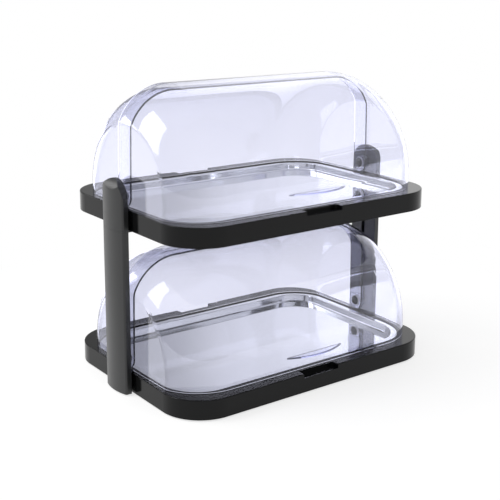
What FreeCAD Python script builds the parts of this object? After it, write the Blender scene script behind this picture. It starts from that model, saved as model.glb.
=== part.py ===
"""Two-tier roll-top display, kept cold by packs under its trays.

Millimetres, +Z up, +X along the long side, +Y to the back. The origin is on the
standing surface, in the middle of the plan. Each tier is a moulded base pan with a
pressed tray over two cold packs, closed by two clear covers that roll about one long
axis. Two moulded posts at the ends carry the tiers and the cover pivots.
"""
import FreeCAD, Part
import math
import os

from FreeCAD import Vector

# Covers. The front cover runs outside the rear one, on the same axis.
cover_radius = 147.5        # outside of the front cover, from the pivot line
cover_reach = 214.5         # outside of its end wall, from the middle of the length
cover_shoulder = 78.0       # rounding between its barrel and its end walls
cover_turn = 22.0           # degrees between the end wall and the start of that rounding
cover_turn_round = 14.0     # and the small rounding that softens this turn
cover_draft = 1.1           # degrees that an end wall leans in
cover_wall = 2.4
hub_radius = 10.0           # flat round the pivot hole
nest_gap = 4.1              # between the two barrels
nest_end_gap = 0.9          # between the two end walls
edge_offset = 14.0          # from the pivot line to either free edge of a cover
edge_clearance = 0.5        # under the free edge of a closed cover
pivot_hole_clearance = 0.08

# Finger lips: half-moon shelves, outwards on the front cover, inwards on the rear one
lip_half_chord = 49.0
lip_depth = 12.0
lip_thickness = 2.2
lip_height = 8.0            # top face above the pivot line
lip_edge_round = 0.8

# Base pans
tier_pitch = 229.0
rim_ledge_side = 15.5       # rim outside the covers at front and back
rim_ledge_end = 5.5         # rim outside the covers at the ends
base_corner = 60.0
base_height = 27.0
base_wall = 2.8
base_floor = 2.5
rim_edge_round = 1.4
rib_thickness = 2.0
rib_spacing = 62.0
divider_height = 6.0

# Finger notches in the front and back rim
notch_length = 62.0
notch_depth = 6.0
notch_reach = 12.5          # from the outer face inwards

# Trays
tray_sheet = 0.8
tray_depth = 11.0
tray_recess = 1.2           # flange below the top of the rim
tray_flange = 10.0
tray_edge_gap = 3.2         # flange to the inside of the rear cover
tray_corner = 56.0          # of the flange
tray_bend = 1.3
tray_floor_bend = 2.2
tray_wall_lean = 1.2        # how far a tray wall runs in from top to bottom
tray_fit = 0.6              # flange in its seat, and basin in its well
basin_clearance = 2.0

# Cold packs
pack_fit = 3.0              # round each pack in the well
pack_top_clearance = 0.3
pack_corner = 22.0
pack_edge_round = 2.5
pack_dimple_radius = 9.0
pack_dimple_depth = 1.2
pack_dimple_rows = 2
pack_dimple_columns = 3

# Posts
post_width = 54.0
post_standoff = 3.5         # air between a post and the ends of the bases
post_side = 8.5             # depth of the flat sides
post_bulge = 4.5            # how far the outer face swells past the sides
post_corner = 3.0
post_least_corner = 0.4     # of its hollow
post_wall = 2.8
post_crown_depth = 4.5      # what is left of the depth at the top of the cap
post_groove = 7.0           # slot down the middle of the inner face
post_groove_depth = 8.0
post_rib = 2.0              # wall on each side of the slot
seam_gap = 0.15
tenon_length = 14.0
tenon_fit = 0.25
tenon_root = 4.0            # floor of the upper post, which carries the tongues

# Pivots
pin_radius = 4.0
pin_head_radius = 7.4
pin_head_height = 3.4
pin_head_clearance = 0.25
pin_grip = 8.5              # how far the shank goes into the post
pin_slot_width = 1.6
pin_slot_depth = 1.2
boss_radius = 9.5
boss_clearance = 0.3
washer_clearance = 0.15
washer_bore_clearance = 0.08
washer_radius = 9.0

# Shelf that carries the upper tier, and its screw
shelf_width = 28.0
shelf_reach = 17.0          # under the upper base, from its end inwards
shelf_thickness = 3.2
shelf_pad_height = 2.0
shelf_pad_radius = 6.5
shelf_corner = 5.6
shelf_screw_inset = 10.5    # screw line inside the end of the base

# Screws
screw_radius = 2.0
screw_clearance = 0.06
screw_head_radius = 3.9
screw_head_height = 2.4
screw_head_round = 0.96
screw_socket_radius = 1.3
screw_socket_depth = 1.3
side_screw_spread = 32.0    # between the two screws of a post
side_screw_height = 9.5     # above the bottom of a base
side_screw_grip = 6.0
screw_boss_wall = 2.4

# Feet
foot_standout = 2.0
foot_radius = 8.0
foot_seat_depth = 1.4
foot_inset = 46.0           # from both outer faces of the base
foot_seat_fit = 0.1

# Sizes that follow
base_length = 2 * (cover_reach + rim_ledge_end)
base_width = 2 * (cover_radius + rim_ledge_side)
rear_radius = cover_radius - cover_wall - nest_gap
rear_reach = cover_reach - cover_wall - nest_end_gap
rear_shoulder = cover_shoulder - cover_wall - nest_gap
inside_radius = rear_radius - cover_wall
inside_reach = rear_reach - cover_wall
inside_shoulder = rear_shoulder - cover_wall
pivot_height = base_height + edge_clearance + edge_offset
flange_length = 2 * (inside_reach - tray_edge_gap)
flange_width = 2 * (inside_radius - tray_edge_gap)
basin_length = flange_length - 2 * tray_flange
basin_width = flange_width - 2 * tray_flange
basin_corner = tray_corner - tray_flange
seat_level = base_height - tray_recess - tray_sheet
well_length = basin_length + 2 * (tray_sheet + basin_clearance)
well_width = basin_width + 2 * (tray_sheet + basin_clearance)
well_corner = basin_corner + tray_sheet + basin_clearance
rim_underside = seat_level - base_wall
base_end = base_length / 2
post_face = base_end + post_standoff
post_depth = post_side + post_bulge
tier_levels = {"lower": foot_standout, "upper": foot_standout + tier_pitch}
lip_radius = (lip_half_chord ** 2 + lip_depth ** 2) / (2 * lip_depth)
big = 2 * (base_length + tier_pitch)
past = 1.0                  # how far a cut runs past the face it opens

X_AXIS = Vector(1, 0, 0)
Y_AXIS = Vector(0, 1, 0)
Z_AXIS = Vector(0, 0, 1)


def box(x0, y0, z0, x1, y1, z1):
    """A block between two corners."""
    return Part.makeBox(x1 - x0, y1 - y0, z1 - z0, Vector(x0, y0, z0))


def rod(radius, x0, x1, y=0.0, z=0.0):
    """A cylinder along X."""
    return Part.makeCylinder(radius, x1 - x0, Vector(x0, y, z), X_AXIS)


def column(radius, x, y, z0, z1):
    """A cylinder along Z."""
    return Part.makeCylinder(radius, z1 - z0, Vector(x, y, z0), Z_AXIS)


def rounded_outline(length, width, corner, z):
    """Closed outline of a rectangle with round corners, centred, at height z."""
    hx = length / 2
    hy = width / 2
    cut = corner * (1 - math.sqrt(0.5))
    edges = []
    for turn in range(4):
        along, across = (hx, hy) if turn % 2 == 0 else (hy, hx)
        angle = math.radians(90 * turn)

        def place(u, v):
            return Vector(
                u * math.cos(angle) - v * math.sin(angle),
                u * math.sin(angle) + v * math.cos(angle),
                z,
            )

        start = place(along, -(across - corner))
        corner_start = place(along, across - corner)
        corner_middle = place(along - cut, across - cut)
        corner_end = place(along - corner, across)
        edges.append(Part.LineSegment(start, corner_start).toShape())
        edges.append(Part.Arc(corner_start, corner_middle, corner_end).toShape())
    return Part.Wire(edges)


def rounded_slab(length, width, corner, z0, z1):
    """A plate with round corners."""
    outline = rounded_outline(length, width, corner, z0)
    return Part.Face(outline).extrude(Vector(0, 0, z1 - z0))


def edges_at(shape, z, inside=None, tolerance=1e-4):
    """Edges lying level at z, within a centred rectangle where one is given."""
    found = []
    for edge in shape.Edges:
        bounds = edge.BoundBox
        if abs(bounds.ZMin - z) > tolerance or abs(bounds.ZMax - z) > tolerance:
            continue
        if inside:
            reach_x, reach_y = inside
            if max(abs(bounds.XMin), abs(bounds.XMax)) > reach_x / 2 + tolerance:
                continue
            if max(abs(bounds.YMin), abs(bounds.YMax)) > reach_y / 2 + tolerance:
                continue
        found.append(edge)
    return found


def one_solid(shape):
    """The single solid of a boolean result, with its split faces merged."""
    cleaned = shape.removeSplitter()
    solids = cleaned.Solids
    if len(solids) != 1:
        raise ValueError("expected one solid, found %d" % len(solids))
    return solids[0]


def mirrored(shape, side):
    """A right-hand piece for side +1, its mirror image for side -1."""
    if side > 0:
        return shape
    return shape.mirror(Vector(0, 0, 0), X_AXIS)


def write(name, shapes):
    """Write a node, as one solid or as a group of separate solids."""
    solids = []
    for shape in shapes:
        solids.extend(shape.Solids)
    result = solids[0] if len(solids) == 1 else Part.makeCompound(solids)
    result.exportStep("parts/%s.step" % name)
    valid = all(solid.isValid() for solid in solids)
    bounds = result.BoundBox
    print(
        "%-28s %2d solids valid=%s  x %.1f %.1f  y %.1f %.1f  z %.1f %.1f"
        % (name, len(solids), valid, bounds.XMin, bounds.XMax,
           bounds.YMin, bounds.YMax, bounds.ZMin, bounds.ZMax)
    )


def barrel(reach, radius, shoulder, turn_round):
    """Solid of revolution about X: drafted end discs, a soft turn, round shoulders."""
    slope = math.tan(math.radians(cover_draft))
    turn = math.radians(cover_turn)
    centre_r = radius - shoulder
    disc_r = centre_r + shoulder * math.sin(turn)
    disc_x = reach - (disc_r - hub_radius) * slope
    centre = Vector(disc_x - shoulder * math.cos(turn), 0, centre_r)

    # The small rounding touches the end disc and the shoulder from inside.
    inward = Vector(-1, 0, -slope).normalize()
    upward = Vector(-slope, 0, 1).normalize()
    offset = Vector(disc_x, 0, disc_r) + inward * turn_round - centre
    along = offset.dot(upward)
    room = (shoulder - turn_round) ** 2 - offset.Length ** 2
    small = centre + offset + upward * (math.sqrt(along ** 2 + room) - along)
    wall_end = small - inward * turn_round
    outward = (small - centre).normalize()
    shoulder_start = centre + outward * shoulder
    small_middle = small + (outward - inward).normalize() * turn_round
    top = Vector(0, 0, 1)
    shoulder_middle = centre + (outward + top).normalize() * shoulder
    shoulder_end = centre + top * shoulder

    axis_point = Vector(reach, 0, 0)
    hub_edge = Vector(reach, 0, hub_radius)
    half = [
        Part.LineSegment(axis_point, hub_edge).toShape(),
        Part.LineSegment(hub_edge, wall_end).toShape(),
        Part.Arc(wall_end, small_middle, shoulder_start).toShape(),
        Part.Arc(shoulder_start, shoulder_middle, shoulder_end).toShape(),
    ]
    other = [edge.mirror(Vector(0, 0, 0), X_AXIS) for edge in half]
    crown = Part.LineSegment(
        shoulder_end, Vector(-shoulder_end.x, 0, shoulder_end.z)
    ).toShape()
    base = Part.LineSegment(axis_point, Vector(-reach, 0, 0)).toShape()
    outline = Part.Wire(Part.__sortEdges__(half + other + [crown, base]))
    return Part.Face(outline).revolve(Vector(0, 0, 0), X_AXIS, 360)


def quarter_prism():
    """What a closed front cover keeps of its barrel, about the pivot line."""
    low = Vector(0, 0, -edge_offset)
    high = Vector(0, edge_offset, 0)
    middle = Vector(0, edge_offset * math.sqrt(0.5), -edge_offset * math.sqrt(0.5))
    far = 2 * cover_radius
    corners = [
        high,
        Vector(0, edge_offset, far),
        Vector(0, -far, far),
        Vector(0, -far, -edge_offset),
        low,
    ]
    edges = [Part.LineSegment(a, b).toShape() for a, b in zip(corners, corners[1:])]
    edges.append(Part.Arc(low, middle, high).toShape())
    face = Part.Face(Part.Wire(edges))
    face.translate(Vector(-big / 2, 0, 0))
    return face.extrude(Vector(big, 0, 0))


def lip_disc(centre_y, radius):
    """The round plate that a finger lip is cut from."""
    disc = Part.makeCylinder(
        radius, lip_thickness, Vector(0, centre_y, lip_height - lip_thickness), Z_AXIS
    )
    return disc.makeFillet(lip_edge_round, edges_at(disc, lip_height))


def front_cover():
    """The outer cover, closed, with its pivot line on the X axis."""
    outside = barrel(cover_reach, cover_radius, cover_shoulder, cover_turn_round)
    inside = barrel(cover_reach - cover_wall, cover_radius - cover_wall,
                    cover_shoulder - cover_wall, cover_turn_round - cover_wall)
    shell = outside.cut(inside).common(quarter_prism())
    skin = math.sqrt(cover_radius ** 2 - lip_height ** 2)
    disc = lip_disc(lip_radius - lip_depth - skin, lip_radius)
    lip = disc.cut(rod(cover_radius - cover_wall / 2, -big / 2, big / 2))
    lip = lip.common(box(-lip_radius, -2 * cover_radius, 0, lip_radius, 0, lip_height))
    hole = rod(pin_radius + pivot_hole_clearance, -big / 2, big / 2)
    return one_solid(shell.fuse(lip).cut(hole))


def rear_cover():
    """The inner cover, closed, with its pivot line on the X axis."""
    outside = barrel(rear_reach, rear_radius, rear_shoulder, cover_turn_round)
    inside = barrel(inside_reach, inside_radius, inside_shoulder,
                    cover_turn_round - cover_wall)
    kept = quarter_prism().mirror(Vector(0, 0, 0), Y_AXIS)
    shell = outside.cut(inside).common(kept)
    skin = math.sqrt(inside_radius ** 2 - lip_height ** 2)
    disc = lip_disc(skin - lip_depth + lip_radius, lip_radius)
    lip = disc.common(rod(rear_radius - cover_wall / 2, -lip_radius, lip_radius))
    hole = rod(pin_radius + pivot_hole_clearance, -big / 2, big / 2)
    return one_solid(shell.fuse(lip).cut(hole))


def screw_points():
    """Places along Y of the two screws that hold a post to a base."""
    return [-side_screw_spread / 2, side_screw_spread / 2]


def base_pan():
    """Moulded pan: hollow rim open below, tray seat, well, notches and bosses."""
    body = rounded_slab(base_length, base_width, base_corner, 0, base_height)
    body = body.makeFillet(rim_edge_round, edges_at(body, base_height))
    seat = rounded_slab(
        flange_length + 2 * tray_fit, flange_width + 2 * tray_fit,
        tray_corner + tray_fit, seat_level, base_height + past,
    )
    well = rounded_slab(well_length, well_width, well_corner, base_floor,
                        base_height + past)
    groove_outside = rounded_slab(
        base_length - 2 * base_wall, base_width - 2 * base_wall,
        base_corner - base_wall, -past, rim_underside,
    )
    groove_inside = rounded_slab(
        well_length + 2 * base_wall, well_width + 2 * base_wall,
        well_corner + base_wall, -past, rim_underside,
    )
    groove = groove_outside.cut(groove_inside)
    for rib in rim_ribs():
        groove = groove.cut(rib)
    for side in (-1, 1):
        groove = groove.cut(notch_housing(side))
        groove = groove.cut(shelf_screw_boss(side))
    body = body.cut(seat).cut(well).cut(groove)
    for side in (-1, 1):
        body = body.cut(finger_notch(side))
        body = body.cut(shelf_screw_hole(side))
        for y in screw_points():
            hole = rod(screw_radius + screw_clearance, base_end - 2 * base_wall,
                       base_end + past, y, side_screw_height)
            body = body.cut(mirrored(hole, side))
    divider = box(-rib_thickness / 2, -well_width / 2, base_floor,
                  rib_thickness / 2, well_width / 2, divider_height)
    return one_solid(body.fuse(divider))


def rim_ribs():
    """Stiffening ribs across the hollow rim, clear of the notches and the posts."""
    ribs = []
    half = rib_thickness / 2
    count = int((base_length / 2 - base_corner) / rib_spacing)
    for step in range(1, count + 1):
        for sign in (-1, 1):
            x = sign * step * rib_spacing
            ribs.append(box(x - half, -base_width / 2, -past, x + half, base_width / 2,
                            rim_underside))
    end_y = (post_width + rib_spacing) / 2
    for sign in (-1, 1):
        y = sign * end_y
        ribs.append(box(-base_length / 2, y - half, -past, base_length / 2, y + half,
                        rim_underside))
    return ribs


def notch_block(side, grow):
    """Space of a finger notch, grown by the wall round it where asked."""
    outer = base_width / 2 + past
    inner = base_width / 2 - notch_reach - grow
    half = notch_length / 2 + grow
    block = box(-half, inner, base_height - notch_depth - grow, half, outer,
                base_height + past)
    return block if side > 0 else block.mirror(Vector(0, 0, 0), Y_AXIS)


def finger_notch(side):
    """The recess in the rim, with rounded inner corners."""
    block = notch_block(side, 0)
    upright = []
    for edge in block.Edges:
        bounds = edge.BoundBox
        inward = abs(bounds.YMax) if side < 0 else abs(bounds.YMin)
        if bounds.ZLength > notch_depth and inward < base_width / 2:
            upright.append(edge)
    return block.makeFillet(notch_depth / 2, upright)


def notch_housing(side):
    """Wall of the rim under and behind a finger notch."""
    return notch_block(side, base_wall)


def shelf_screw_boss(side):
    """Column in the hollow rim that takes the screw from the shelf."""
    x = side * (base_length / 2 - shelf_screw_inset)
    return column(screw_radius + screw_boss_wall, x, 0, -past, rim_underside)


def shelf_screw_hole(side):
    """Screw hole in that column."""
    x = side * (base_length / 2 - shelf_screw_inset)
    return column(screw_radius + screw_clearance, x, 0, -past,
                  rim_underside - base_wall)


def display_tray():
    """Pressed tray: level flange, short leaning wall, level floor."""
    def basin(grow, top, floor, bend):
        lean = tray_wall_lean
        upper = rounded_outline(basin_length + 2 * grow, basin_width + 2 * grow,
                                basin_corner + grow, top)
        lower = rounded_outline(basin_length + 2 * (grow - lean),
                                basin_width + 2 * (grow - lean),
                                basin_corner + grow - lean, floor)
        block = Part.makeLoft([upper, lower], True, True)
        return block.makeFillet(bend, edges_at(block, floor))

    flange_top = seat_level + tray_sheet
    floor = flange_top - tray_depth
    flange = rounded_slab(flange_length, flange_width, tray_corner, seat_level,
                          flange_top)
    outer = basin(tray_sheet, seat_level, floor - tray_sheet,
                  tray_floor_bend + tray_sheet)
    inner = basin(0.0, flange_top, floor, tray_floor_bend)
    tray = one_solid(flange.fuse(outer).cut(inner))
    lip_edges = edges_at(tray, flange_top, (basin_length + past, basin_width + past))
    return tray.makeFillet(tray_bend, lip_edges)


def cold_pack():
    """The right-hand pack: a flat moulded bottle with round dimples in its top."""
    inner_x = rib_thickness / 2 + pack_fit
    outer_x = well_length / 2 - pack_fit
    length = outer_x - inner_x
    width = well_width - 2 * pack_fit
    top = seat_level - tray_depth - pack_top_clearance
    pack = rounded_slab(2 * outer_x, width, well_corner - pack_fit, base_floor, top)
    pack = pack.common(box(inner_x, -width, 0, 2 * outer_x, width, base_height))
    upright = []
    for edge in pack.Edges:
        bounds = edge.BoundBox
        if bounds.ZLength > (top - base_floor) / 2 and bounds.XMax < inner_x + past:
            upright.append(edge)
    pack = pack.makeFillet(pack_corner, upright)
    rims = edges_at(pack, top) + edges_at(pack, base_floor)
    pack = pack.makeFillet(pack_edge_round, rims)
    for column_index in range(pack_dimple_columns):
        share_x = (column_index + 0.5) / pack_dimple_columns - 0.5
        for row in range(pack_dimple_rows):
            share_y = (row + 0.5) / pack_dimple_rows - 0.5
            dimple = Part.makeCone(
                pack_dimple_radius - pack_dimple_depth, pack_dimple_radius,
                pack_dimple_depth,
                Vector((inner_x + outer_x) / 2 + share_x * length, share_y * width,
                       top - pack_dimple_depth),
            )
            pack = pack.cut(dimple)
    return one_solid(pack)


def post_plan(inset):
    """Face of a right-hand post's section: flat back, flat sides, swelling front."""
    back = post_face + inset
    half = post_width / 2 - inset
    side_end = post_face + post_side - inset
    front = post_face + post_depth - inset
    corners = [Vector(back, half, 0), Vector(back, -half, 0), Vector(side_end, -half, 0)]
    edges = [
        Part.LineSegment(corners[0], corners[1]).toShape(),
        Part.LineSegment(corners[1], corners[2]).toShape(),
        Part.Arc(corners[2], Vector(front, 0, 0), Vector(side_end, half, 0)).toShape(),
        Part.LineSegment(Vector(side_end, half, 0), corners[0]).toShape(),
    ]
    return Part.Face(Part.Wire(edges))


def post_column(inset, z0, z1):
    """A straight length of post, or of the hollow in it where inset is the wall."""
    block = post_plan(inset).extrude(Vector(0, 0, z1 - z0))
    corner = max(post_corner - inset, post_least_corner)
    upright = []
    for edge in block.Edges:
        bounds = edge.BoundBox
        at_corner = abs(bounds.XMin - (post_face + post_side - inset)) < 1e-4
        if at_corner and bounds.ZLength > 0.5 * (z1 - z0) and bounds.XLength < 1e-4:
            upright.append(edge)
    block = block.makeFillet(corner, upright)
    block.translate(Vector(0, 0, z0))
    return block


def capped(block, inset, centre_z):
    """Rounds the top of a post off: an arch seen from the end, rolled in at the crown."""
    radius = post_width / 2 - inset
    depth = post_depth - inset
    crown = post_crown_depth - inset
    top = centre_z + radius
    behind = post_face - post_depth
    before = post_face + 2 * post_depth
    low = centre_z - 2 * post_width
    bow = math.sqrt(0.5)

    def prism(start, middle, end, rest, sweep):
        corners = [end] + rest + [start]
        edges = [Part.Arc(start, middle, end).toShape()]
        edges += [Part.LineSegment(p, q).toShape() for p, q in zip(corners, corners[1:])]
        return Part.Face(Part.Wire(edges)).extrude(sweep)

    arch = prism(
        Vector(behind, radius, centre_z), Vector(behind, 0, top),
        Vector(behind, -radius, centre_z),
        [Vector(behind, -radius, low), Vector(behind, radius, low)],
        Vector(before - behind, 0, 0),
    )
    front = post_face + depth
    roll = prism(
        Vector(front, -post_width, centre_z),
        Vector(post_face + crown + (depth - crown) * bow, -post_width,
               centre_z + radius * bow),
        Vector(post_face + crown, -post_width, top),
        [Vector(behind, -post_width, top), Vector(behind, -post_width, low),
         Vector(front, -post_width, low)],
        Vector(0, 2 * post_width, 0),
    )
    return block.common(arch).common(roll)


def post_cells(inset, z0, z1):
    """The two hollows of a post's section, one on each side of its slot."""
    block = post_column(post_wall + inset, z0, z1)
    half = post_groove / 2 + post_rib + inset
    return block.cut(box(post_face, -half, z0 - past, post_face + post_depth, half,
                         z1 + past))


def post_slot(z0, z1):
    """The slot down the middle of the inner face."""
    half = post_groove / 2
    return box(post_face - past, -half, z0, post_face + post_groove_depth, half, z1)


def post_boss(core, radius, start, y, z):
    """Boss from the front wall of a post out through its inner face, as far as start."""
    inside = rod(radius, post_face, post_face + post_depth, y, z).common(core)
    return inside.fuse(rod(radius, start, post_face + post_wall, y, z))


def pivot_boss(core, z):
    """Boss that carries a pivot pin, and stops just short of the cover."""
    return post_boss(core, boss_radius, cover_reach + boss_clearance, 0, z)


def pivot_bore(z):
    """Bore for the shank."""
    face = cover_reach
    return rod(pin_radius, face, post_face + pin_grip, 0, z)


def side_screw_bosses(core, level):
    """Bosses that stand a post off the end of a base, and take the screws from its rim."""
    radius = screw_radius + screw_boss_wall
    return [post_boss(core, radius, base_end, y, level + side_screw_height)
            for y in screw_points()]


def drill_post(post, level):
    """Screw and pivot holes of one tier."""
    for y in screw_points():
        post = post.cut(rod(screw_radius, base_end - past, post_face + side_screw_grip,
                            y, level + side_screw_height))
    return post.cut(pivot_bore(level + pivot_height))


def post_lower():
    """Right-hand lower post, from the bottom of the lower base to the seam."""
    z0 = tier_levels["lower"]
    z1 = tier_levels["upper"] - seam_gap
    core = post_column(post_wall / 2, z0, z1)
    post = post_column(0, z0, z1).cut(post_cells(0, z0 - past, z1 + past))
    post = post.cut(post_slot(z0 - past, z1 + past))
    for boss in side_screw_bosses(core, z0):
        post = post.fuse(boss)
    post = post.fuse(pivot_boss(core, z0 + pivot_height)).fuse(tier_shelf())
    post = drill_post(post, z0)
    x = base_length / 2 - shelf_screw_inset
    hole = column(screw_radius + screw_clearance, x, 0, z0, z1 + past)
    return one_solid(post.cut(hole))


def tier_shelf():
    """Shelf out from the lower post, with a pad that carries the upper base."""
    top = tier_levels["upper"]
    face = top - shelf_pad_height
    half = shelf_width / 2
    plate = box(base_end - shelf_reach, -half, face - shelf_thickness,
                post_face + post_wall / 2, half, face)
    upright = []
    for edge in plate.Edges:
        bounds = edge.BoundBox
        if bounds.ZLength > shelf_thickness / 2 and bounds.XMax < post_face:
            upright.append(edge)
    plate = plate.makeFillet(shelf_corner, upright)
    x = base_length / 2 - shelf_screw_inset
    return plate.fuse(column(shelf_pad_radius, x, 0, face - shelf_thickness, top))


def post_upper():
    """Right-hand upper post: skirt beside the base, arched cap, tongues below."""
    level = tier_levels["upper"]
    centre = level + pivot_height
    top = centre + post_width / 2
    middle = post_wall / 2
    core = capped(post_column(middle, level, top + past), middle, centre)
    hollow = capped(post_cells(0, level + tenon_root, top + past), post_wall, centre)
    body = capped(post_column(0, level, top + past), 0, centre).cut(hollow)
    body = body.cut(post_slot(level - past, centre))
    for boss in side_screw_bosses(core, level):
        body = body.fuse(boss)
    body = body.fuse(pivot_boss(core, centre)).fuse(tenon(level))
    return one_solid(drill_post(body, level))


def tenon(level):
    """Tongues under the upper post that drop into the lower post's cells."""
    return post_cells(tenon_fit, level - tenon_length, level + tenon_root / 2)


def pivot_pin(level):
    """Right-hand shoulder pin with a domed, slotted head inside the covers."""
    z = level + pivot_height
    head_back = inside_reach - pin_head_clearance
    shank = rod(pin_radius, head_back, post_face + pin_grip, 0, z)
    sphere_radius = (pin_head_radius ** 2 + pin_head_height ** 2) / (2 * pin_head_height)
    ball = Part.makeSphere(sphere_radius,
                           Vector(head_back - pin_head_height + sphere_radius, 0, z))
    dome = ball.common(rod(pin_head_radius, head_back - pin_head_height, head_back, 0, z))
    slot = box(head_back - pin_head_height - past, -pin_head_radius, z - pin_slot_width / 2,
               head_back - pin_head_height + pin_slot_depth, pin_head_radius,
               z + pin_slot_width / 2)
    return one_solid(shank.fuse(dome).cut(slot))


def washer(level):
    """Right-hand spacer between the two end walls."""
    z = level + pivot_height
    x0 = rear_reach + washer_clearance
    x1 = rear_reach + nest_end_gap - washer_clearance
    ring = rod(washer_radius, x0, x1, 0, z)
    return ring.cut(rod(pin_radius + washer_bore_clearance, x0 - past, x1 + past, 0, z))


def screw(length):
    """Screw along +X with the underside of its round head at the origin."""
    head = rod(screw_head_radius, -screw_head_height, 0)
    outer_rim = []
    for edge in head.Edges:
        bounds = edge.BoundBox
        if abs(bounds.XMin + screw_head_height) < 1e-4 and bounds.XLength < 1e-4:
            outer_rim.append(edge)
    head = head.makeFillet(screw_head_round, outer_rim)
    socket = rod(screw_socket_radius, -screw_head_height - past,
                 screw_socket_depth - screw_head_height)
    return one_solid(head.fuse(rod(screw_radius, 0, length)).cut(socket))


def side_screws(level):
    """The four screws that hold the posts to one base."""
    under_head = base_end - base_wall
    made = []
    for side in (-1, 1):
        for y in screw_points():
            piece = screw(base_wall + post_standoff + side_screw_grip)
            piece.translate(Vector(under_head, y, level + side_screw_height))
            made.append(mirrored(piece, side))
    return made


def shelf_screws():
    """The two screws that come up through the shelves into the upper base."""
    under_head = tier_levels["upper"] - shelf_pad_height - shelf_thickness
    length = shelf_thickness + shelf_pad_height + rim_underside - 2 * base_wall
    made = []
    for side in (-1, 1):
        piece = screw(length)
        piece.rotate(Vector(0, 0, 0), Y_AXIS, -90)
        piece.translate(Vector(base_length / 2 - shelf_screw_inset, 0, under_head))
        made.append(mirrored(piece, side))
    return made


def foot_points():
    """Places of the four feet."""
    x = base_length / 2 - foot_inset
    y = base_width / 2 - foot_inset
    return [(sx * x, sy * y) for sx in (-1, 1) for sy in (-1, 1)]


def feet():
    """Soft round feet, each seated in a shallow recess of the lower base."""
    made = []
    for x, y in foot_points():
        foot = column(foot_radius, x, y, 0, foot_standout + foot_seat_depth)
        made.append(foot.makeChamfer(foot_standout / 4, edges_at(foot, 0)))
    return made


def foot_recesses():
    """The recesses of the feet in the bottom of a base."""
    return [column(foot_radius + foot_seat_fit, x, y, -past, foot_seat_depth)
            for x, y in foot_points()]


def main():
    os.makedirs("parts", exist_ok=True)
    pan = base_pan()
    for recess in foot_recesses():
        pan = pan.cut(recess)
    pan = one_solid(pan)
    tray = display_tray()
    pack = cold_pack()
    front = front_cover()
    rear = rear_cover()
    for tier, level in tier_levels.items():
        lift = Vector(0, 0, level)
        pivot = Vector(0, 0, level + pivot_height)
        write("%s_base_pan" % tier, [pan.translated(lift)])
        write("%s_display_tray" % tier, [tray.translated(lift)])
        write("%s_front_cover" % tier, [front.translated(pivot)])
        write("%s_rear_cover" % tier, [rear.translated(pivot)])
        for name, side in (("left", -1), ("right", 1)):
            write("%s_%s_cold_pack" % (tier, name),
                  [mirrored(pack, side).translated(lift)])
            write("%s_%s_pivot_pin" % (tier, name), [mirrored(pivot_pin(level), side)])
        write("%s_spacer_washers" % tier,
              [mirrored(washer(level), side) for side in (-1, 1)])
        write("%s_side_screws" % tier, side_screws(level))
    for name, side in (("left", -1), ("right", 1)):
        write("%s_post_lower" % name, [mirrored(post_lower(), side)])
        write("%s_post_upper" % name, [mirrored(post_upper(), side)])
    write("shelf_screws", shelf_screws())
    write("rubber_feet", feet())


main()
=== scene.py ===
import math

import bpy
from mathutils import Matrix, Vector


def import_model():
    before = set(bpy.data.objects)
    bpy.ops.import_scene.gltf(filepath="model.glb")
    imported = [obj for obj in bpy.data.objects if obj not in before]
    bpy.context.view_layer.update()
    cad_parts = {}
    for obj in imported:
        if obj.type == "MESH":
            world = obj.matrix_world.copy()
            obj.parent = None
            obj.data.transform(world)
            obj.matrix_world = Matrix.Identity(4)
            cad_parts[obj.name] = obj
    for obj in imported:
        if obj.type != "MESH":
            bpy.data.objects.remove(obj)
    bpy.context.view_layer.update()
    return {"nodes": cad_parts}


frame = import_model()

TIERS = ("lower", "upper")
SIDES = ("left", "right")
IMAGE = 500.0


# Camera, at the photograph's viewing angle

def photo_camera():
    """Camera solved from the bases, posts and covers in the photograph."""
    focal = 1004.165
    centre_x, centre_y = 257.276, 190.0
    yaw, pitch, roll = 0.645, 0.217, 0.007
    data = bpy.data.cameras.new("photo_camera")
    data.sensor_width = 36.0
    data.lens = focal / IMAGE * data.sensor_width
    data.shift_x = (IMAGE / 2 - centre_x) / IMAGE
    data.shift_y = (centre_y - IMAGE / 2) / IMAGE
    data.clip_start, data.clip_end = 0.05, 200.0
    camera = bpy.data.objects.new("photo_camera", data)
    bpy.context.scene.collection.objects.link(camera)
    forward = Vector((math.sin(yaw) * math.cos(pitch), math.cos(yaw) * math.cos(pitch),
                      -math.sin(pitch)))
    right = Vector((math.cos(yaw), -math.sin(yaw), 0.0))
    up = right.cross(forward)
    turned_right = right * math.cos(roll) + up * math.sin(roll)
    turned_up = up * math.cos(roll) - right * math.sin(roll)
    axes = (turned_right, turned_up, -forward)
    for row in range(3):
        for column in range(3):
            camera.matrix_world[row][column] = axes[column][row]
    camera.matrix_world.translation = (-0.858472, -1.152943, 0.571012)
    bpy.context.scene.camera = camera


# Effects that several finishes share, one shader node group each

class Sheet:
    """Node tree being filled in: short calls to add and join its nodes."""

    def __init__(self, tree):
        self.tree = tree

    def add(self, kind, operation=None, **values):
        node = self.tree.nodes.new(kind)
        if operation:
            node.operation = operation
        for label, value in values.items():
            node.inputs[label.replace("_", " ")].default_value = value
        return node

    def join(self, start, end):
        self.tree.links.new(start, end)

    def maths(self, operation, first, second):
        """Two-value sum; each value is a socket or a number."""
        node = self.add("ShaderNodeMath", operation)
        for socket, value in zip(node.inputs, (first, second)):
            if isinstance(value, (int, float)):
                socket.default_value = value
            else:
                self.join(value, socket)
        return node.outputs[0]

    def noise(self, place, scale, detail):
        node = self.add("ShaderNodeTexNoise", Detail=detail)
        self.join(place, node.inputs["Vector"])
        if isinstance(scale, (int, float)):
            node.inputs["Scale"].default_value = scale
        else:
            self.join(scale, node.inputs["Scale"])
        return node.outputs["Fac"]


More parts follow.
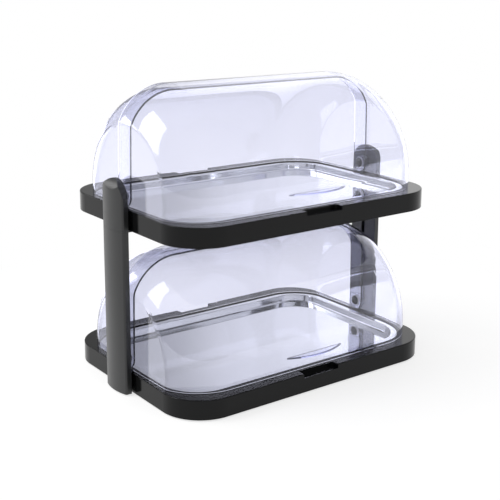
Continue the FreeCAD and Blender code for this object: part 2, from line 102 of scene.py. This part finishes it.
def effect(name, inputs, outputs):
    """Empty node group with its named sockets; gives its sheet, input and output node."""
    tree = bpy.data.node_groups.new(name, "ShaderNodeTree")
    for label, kind, value in inputs:
        socket = tree.interface.new_socket(label, in_out="INPUT", socket_type=kind)
        socket.default_value = value
    for label, kind in outputs:
        tree.interface.new_socket(label, in_out="OUTPUT", socket_type=kind)
    sheet = Sheet(tree)
    return sheet, sheet.add("NodeGroupInput"), sheet.add("NodeGroupOutput")


COLOUR, NUMBER = "NodeSocketColor", "NodeSocketFloat"
SKIN_OUTPUTS = (("Colour", COLOUR), ("Roughness", NUMBER), ("Height", NUMBER))


def varied(sheet, source, mask, amount):
    """Value of a group's input, moved up and down by a mask from 0 to 1."""
    swing = sheet.maths("MULTIPLY", sheet.maths("SUBTRACT", mask, 0.5), amount)
    factor = sheet.maths("ADD", swing, 1.0)
    if source.type == "RGBA":
        scaled = sheet.add("ShaderNodeVectorMath", "SCALE")
        sheet.join(source, scaled.inputs[0])
        sheet.join(factor, scaled.inputs["Scale"])
        return scaled.outputs[0]
    return sheet.maths("MULTIPLY", source, factor)


def moulded_skin():
    """Skin of a moulded part: slow mottling, uneven gloss and the tool's fine grain."""
    sheet, given, out = effect("moulded_skin", (
        ("Colour", COLOUR, (0.02, 0.02, 0.02, 1.0)), ("Roughness", NUMBER, 0.4),
        ("Mottle", NUMBER, 0.2), ("Grain Size", NUMBER, 0.0006)), SKIN_OUTPUTS)
    place = sheet.add("ShaderNodeTexCoord").outputs["Object"]
    mottle = sheet.noise(place, 16.0, 3.0)
    gloss = sheet.noise(place, 70.0, 4.0)
    pitch = sheet.maths("DIVIDE", 1.0, given.outputs["Grain Size"])
    grain = sheet.noise(place, pitch, 2.0)
    amount = given.outputs["Mottle"]
    sheet.join(varied(sheet, given.outputs["Colour"], mottle, amount), out.inputs["Colour"])
    sheet.join(varied(sheet, given.outputs["Roughness"], gloss, amount), out.inputs["Roughness"])
    sheet.join(grain, out.inputs["Height"])
    return sheet.tree


def rolled_skin():
    """Skin of rolled sheet metal: polishing lines along the part, uneven gloss."""
    sheet, given, out = effect("rolled_skin", (
        ("Colour", COLOUR, (0.8, 0.8, 0.8, 1.0)), ("Roughness", NUMBER, 0.1),
        ("Mottle", NUMBER, 0.3), ("Line Length", NUMBER, 0.08), ("Line Width", NUMBER, 0.0006)),
        SKIN_OUTPUTS)
    place = sheet.add("ShaderNodeTexCoord").outputs["Object"]
    along = sheet.maths("DIVIDE", 1.0, given.outputs["Line Length"])
    across = sheet.maths("DIVIDE", 1.0, given.outputs["Line Width"])
    pitch = sheet.add("ShaderNodeCombineXYZ")
    sheet.join(along, pitch.inputs["X"])
    sheet.join(across, pitch.inputs["Y"])
    sheet.join(across, pitch.inputs["Z"])
    drawn = sheet.add("ShaderNodeVectorMath", "MULTIPLY")
    sheet.join(place, drawn.inputs[0])
    sheet.join(pitch.outputs[0], drawn.inputs[1])
    lines = sheet.noise(drawn.outputs[0], 1.0, 3.0)
    cloud = sheet.noise(place, 9.0, 3.0)
    amount = given.outputs["Mottle"]
    faint = sheet.maths("MULTIPLY", amount, 0.15)
    uneven = varied(sheet, given.outputs["Roughness"], cloud, amount)
    sheet.join(varied(sheet, given.outputs["Colour"], lines, faint), out.inputs["Colour"])
    sheet.join(varied(sheet, uneven, lines, amount), out.inputs["Roughness"])
    sheet.join(lines, out.inputs["Height"])
    return sheet.tree


# Finishes

class Finish(Sheet):
    """A material under construction: its shader, its nodes and its links."""

    def __init__(self, name):
        self.material = bpy.data.materials.new(name)
        self.material.use_nodes = True
        super().__init__(self.material.node_tree)
        self.shader = self.tree.nodes["Principled BSDF"]
        self.output = self.tree.nodes["Material Output"]

    def skin(self, group, depth, **values):
        """Colour, roughness and relief of the shader from a skin group."""
        node = self.add("ShaderNodeGroup")
        node.node_tree = group
        for label, value in values.items():
            node.inputs[label.replace("_", " ")].default_value = value
        self.join(node.outputs["Colour"], self.shader.inputs["Base Color"])
        self.join(node.outputs["Roughness"], self.shader.inputs["Roughness"])
        bump = self.add("ShaderNodeBump", Strength=1.0, Distance=depth)
        self.join(node.outputs["Height"], bump.inputs["Height"])
        self.join(bump.outputs["Normal"], self.shader.inputs["Normal"])


def moulded(name, skin, colour, roughness, gloss, grain_size, grain_depth, mottle=0.25):
    finish = Finish(name)
    finish.shader.inputs["Specular IOR Level"].default_value = gloss
    finish.skin(skin, grain_depth, Colour=(*colour, 1.0), Roughness=roughness, Mottle=mottle,
                Grain_Size=grain_size)
    return finish.material


def polished_steel(name, skin, colour, roughness, line_length, line_depth):
    finish = Finish(name)
    finish.shader.inputs["Metallic"].default_value = 1.0
    finish.skin(skin, line_depth, Colour=(*colour, 1.0), Roughness=roughness,
                Line_Length=line_length)
    return finish.material


def clear_cover(name):
    """Clear tinted plastic: the tint is in its thickness, its walls are faintly wavy."""
    finish = Finish(name)
    finish.shader.inputs["Base Color"].default_value = (1.0, 1.0, 1.0, 1.0)
    finish.shader.inputs["Transmission Weight"].default_value = 1.0
    finish.shader.inputs["Roughness"].default_value = 0.0
    finish.shader.inputs["IOR"].default_value = 1.49
    place = finish.add("ShaderNodeTexCoord").outputs["Object"]
    wave = finish.add("ShaderNodeBump", Strength=1.0, Distance=0.00003)
    finish.join(finish.noise(place, 22.0, 1.0), wave.inputs["Height"])
    finish.join(wave.outputs["Normal"], finish.shader.inputs["Normal"])
    tint = finish.add("ShaderNodeVolumeAbsorption", Color=(0.40, 0.44, 0.93, 1.0),
                      Density=64.0)
    finish.join(tint.outputs[0], finish.output.inputs["Volume"])
    path = finish.add("ShaderNodeLightPath")
    unlit = finish.maths("MAXIMUM", path.outputs["Is Shadow Ray"],
                         path.outputs["Is Diffuse Ray"])
    passing = finish.add("ShaderNodeBsdfTransparent", Color=(0.92, 0.92, 0.93, 1.0))
    mix = finish.add("ShaderNodeMixShader")
    finish.join(unlit, mix.inputs[0])
    finish.join(finish.shader.outputs[0], mix.inputs[1])
    finish.join(passing.outputs[0], mix.inputs[2])
    finish.join(mix.outputs[0], finish.output.inputs["Surface"])
    return finish.material


def dress(node, material):
    """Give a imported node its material."""
    shown = frame["nodes"][node]
    shown.data.materials.clear()
    shown.data.materials.append(material)


def dress_all():
    skin = moulded_skin()
    rolled = rolled_skin()
    base = moulded("base_plastic", skin, (0.004, 0.0043, 0.0047), 0.13, 0.2, 0.0008, 0.000005)
    post = moulded("post_plastic", skin, (0.016, 0.0167, 0.0177), 0.34, 0.6, 0.0006, 0.00002)
    steel = polished_steel("tray_steel", rolled, (0.76, 0.77, 0.79), 0.08, 0.08, 0.000001)
    screw = polished_steel("screw_steel", rolled, (0.55, 0.55, 0.57), 0.28, 0.004, 0.000004)
    clear = clear_cover("clear_cover")
    pack = moulded("pack_plastic", skin, (0.55, 0.68, 0.83), 0.42, 0.5, 0.0012, 0.00006)
    nylon = moulded("washer_plastic", skin, (0.72, 0.72, 0.70), 0.5, 0.5, 0.0005, 0.00002)
    rubber = moulded("foot_rubber", skin, (0.02, 0.02, 0.02), 0.75, 0.3, 0.0009, 0.00008)
    for tier in TIERS:
        dress(f"{tier}_base_pan", base)
        dress(f"{tier}_display_tray", steel)
        dress(f"{tier}_front_cover", clear)
        dress(f"{tier}_rear_cover", clear)
        dress(f"{tier}_spacer_washers", nylon)
        dress(f"{tier}_side_screws", screw)
        for side in SIDES:
            dress(f"{tier}_{side}_cold_pack", pack)
            dress(f"{tier}_{side}_pivot_pin", post)
    for side in SIDES:
        dress(f"{side}_post_lower", post)
        dress(f"{side}_post_upper", post)
    dress("shelf_screws", screw)
    dress("rubber_feet", rubber)


# Studio

# Painted reflection: the floor glows above white only where the covers' walls mirror it,
# standing in for glare that no lamp makes
FLOOR_PAINTED_REFLECTION = 1.2        # what the walls of the covers mirror of the lit floor, above white


def floor():
    """Pale floor: it takes the shadow near the object, and reads as white further out."""
    size = 60.0
    mesh = bpy.data.meshes.new("studio_floor")
    mesh.from_pydata([(-size, -size, 0), (size, -size, 0), (size, size, 0), (-size, size, 0)],
                     [], [(0, 1, 2, 3)])
    plane = bpy.data.objects.new("studio_floor", mesh)
    bpy.context.scene.collection.objects.link(plane)
    finish = Finish("studio_floor")
    finish.shader.inputs["Base Color"].default_value = (0.5, 0.5, 0.5, 1.0)
    finish.shader.inputs["Roughness"].default_value = 0.9
    finish.shader.inputs["Specular IOR Level"].default_value = 0.0
    path = finish.add("ShaderNodeLightPath")
    seen = finish.maths("MAXIMUM", path.outputs["Is Camera Ray"], path.outputs["Is Glossy Ray"])
    seen = finish.maths("MAXIMUM", seen, path.outputs["Is Transmission Ray"])
    lift = finish.add("ShaderNodeEmission")
    finish.join(finish.maths("MULTIPLY", seen, 0.69), lift.inputs["Strength"])
    lit = finish.add("ShaderNodeAddShader")
    finish.join(finish.shader.outputs[0], lit.inputs[0])
    finish.join(lift.outputs[0], lit.inputs[1])
    reach = finish.add("ShaderNodeVectorMath", "LENGTH")
    finish.join(finish.add("ShaderNodeTexCoord").outputs["Object"], reach.inputs[0])
    far = finish.add("ShaderNodeMapRange", From_Min=0.3, From_Max=0.65)
    far.interpolation_type = "SMOOTHSTEP"
    finish.join(reach.outputs["Value"], far.inputs["Value"])
    # Painted reflection: rays that were mirrored once and then pass through a cover see the
    # floor glowing brighter than white
    painted_reflection_mask = finish.maths("MINIMUM", path.outputs["Glossy Depth"], 1.0)
    painted_reflection_mask = finish.maths("MULTIPLY", painted_reflection_mask, path.outputs["Is Transmission Ray"])
    white = finish.add("ShaderNodeEmission")
    finish.join(finish.maths("ADD", finish.maths("MULTIPLY", painted_reflection_mask, FLOOR_PAINTED_REFLECTION), 1.0),
                white.inputs["Strength"])
    mix = finish.add("ShaderNodeMixShader")
    finish.join(finish.maths("MULTIPLY", seen, far.outputs["Result"]), mix.inputs[0])
    finish.join(lit.outputs[0], mix.inputs[1])
    finish.join(white.outputs[0], mix.inputs[2])
    finish.join(mix.outputs[0], finish.output.inputs["Surface"])
    mesh.materials.append(finish.material)


STUDIO_BRIGHTEST = 1.4
STUDIO_CEILING = 0.55
STUDIO_WALLS = (         # bearing from the back towards the right, share of the brightest
    (-180, 0.68), (-100, 0.45), (-60, 0.45), (-20, 0.4), (10, 0.3), (27, 0.3), (32, 0.42),
    (36.5, 0.72), (46, 0.94), (75, 0.9), (110, 0.6), (150, 0.68), (180, 0.68))


def world():
    """White surroundings where they are seen, graded ones in reflections, plain light."""
    surroundings = bpy.data.worlds.new("studio")
    bpy.context.scene.world = surroundings
    surroundings.use_nodes = True
    sheet = Sheet(surroundings.node_tree)
    sky = sheet.tree.nodes["Background"]
    path = sheet.add("ShaderNodeLightPath")
    seen = sheet.maths("MAXIMUM", path.outputs["Is Camera Ray"], path.outputs["Is Glossy Ray"])
    seen = sheet.maths("MAXIMUM", seen, path.outputs["Is Transmission Ray"])
    mirrored = sheet.maths("MINIMUM", path.outputs["Glossy Depth"], 1.0)
    way = sheet.add("ShaderNodeSeparateXYZ")
    sheet.join(sheet.add("ShaderNodeTexCoord").outputs["Generated"], way.inputs[0])
    bearing = sheet.maths("ARCTAN2", way.outputs["X"], way.outputs["Y"])
    turn = sheet.maths("ADD", sheet.maths("DIVIDE", bearing, 2 * math.pi), 0.5)
    walls = sheet.add("ShaderNodeValToRGB")
    stops = walls.color_ramp.elements
    while len(stops) < len(STUDIO_WALLS):
        stops.new(0.5)
    for stop, (degrees, level) in zip(stops, STUDIO_WALLS):
        stop.position = degrees / 360 + 0.5
        stop.color = (level, level, level, 1.0)
    sheet.join(turn, walls.inputs[0])
    overhead = sheet.add("ShaderNodeMapRange", From_Min=0.45, From_Max=0.8)
    overhead.interpolation_type = "SMOOTHSTEP"
    sheet.join(way.outputs["Z"], overhead.inputs["Value"])
    around = sheet.maths("MULTIPLY", walls.outputs["Color"],
                         sheet.maths("SUBTRACT", 1.0, overhead.outputs["Result"]))
    above = sheet.maths("MULTIPLY", overhead.outputs["Result"], STUDIO_CEILING)
    mirror_part = sheet.maths("MULTIPLY", mirrored, sheet.maths("ADD", around, above))
    mirror_part = sheet.maths("MULTIPLY", mirror_part, STUDIO_BRIGHTEST)
    white_part = sheet.maths("SUBTRACT", 1.0, mirrored)
    shown = sheet.maths("MULTIPLY", seen, sheet.maths("ADD", white_part, mirror_part))
    plain = sheet.maths("MULTIPLY", sheet.maths("SUBTRACT", 1.0, seen), 0.6)
    sheet.join(sheet.maths("ADD", shown, plain), sky.inputs["Strength"])
    sky.inputs["Color"].default_value = (1.0, 1.0, 1.0, 1.0)


def softbox(name, place, aim, width, height, power):
    """Rectangular lamp at a place, turned towards a point, out of the camera's sight."""
    data = bpy.data.lights.new(name, "AREA")
    data.shape = "RECTANGLE"
    data.size, data.size_y = width, height
    data.energy = power
    lamp = bpy.data.objects.new(name, data)
    bpy.context.scene.collection.objects.link(lamp)
    lamp.location = place
    lamp.rotation_mode = "QUATERNION"
    lamp.rotation_quaternion = (Vector(aim) - Vector(place)).to_track_quat("-Z", "Y")
    lamp.visible_camera = False


def light():
    softbox("main_softbox", (-1.42, 0.66, 1.36), (0.0, 0.0, 0.25), 0.9, 1.2, 12.0)
    softbox("back_left_softbox", (-1.2, 1.6, 0.8), (0.0, 0.0, 0.25), 0.7, 0.5, 3.6)


photo_camera()
dress_all()
floor()
world()
light()

scene = bpy.context.scene
scene.view_settings.view_transform = "Standard"
